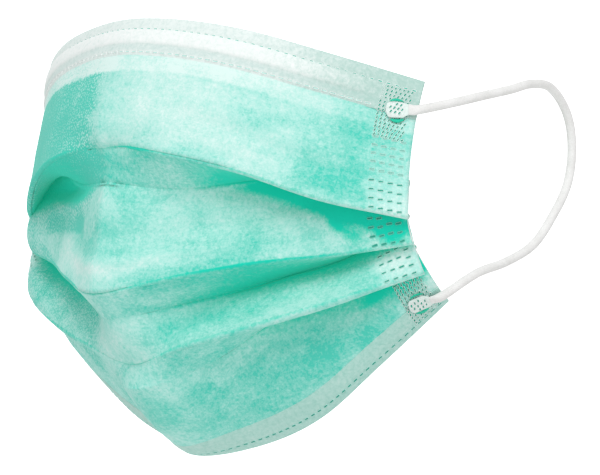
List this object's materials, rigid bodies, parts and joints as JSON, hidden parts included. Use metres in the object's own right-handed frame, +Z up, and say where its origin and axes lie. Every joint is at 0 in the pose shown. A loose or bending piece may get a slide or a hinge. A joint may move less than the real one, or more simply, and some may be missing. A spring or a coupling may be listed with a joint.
{
  "type": "pleated ear-loop face mask",
  "caption": "Pleated disposable face mask held open in its worn form, with hemmed top and bottom edges, a nose strip and elastic ear loops.",
  "frame": {"origin": "middle of the open back of the mask, on its plane of symmetry and at the height of the mouth, where the face lies", "axes": "+Z up, -Y the way the wearer faces, +X the wearer's left"},
  "size_m": [0.1581, 0.1083, 0.12],
  "materials": {
    "green_nonwoven": "soft mottled nonwoven",
    "white_nonwoven": "soft nonwoven",
    "pale_green_nonwoven": "soft nonwoven",
    "white_elastic": "fine knit",
    "white_strip": "matte"
  },
  "bodies": {
    "root": {"mask_body": "green_nonwoven", "top_band": "white_nonwoven", "bottom_band": "pale_green_nonwoven", "nose_strip": "white_strip", "ear_loop_left": "white_elastic", "ear_loop_right": "white_elastic", "loop_end_upper_left": "white_elastic", "loop_end_lower_left": "white_elastic", "loop_end_upper_right": "white_elastic", "loop_end_lower_right": "white_elastic"}
  },
  "joints": []
}
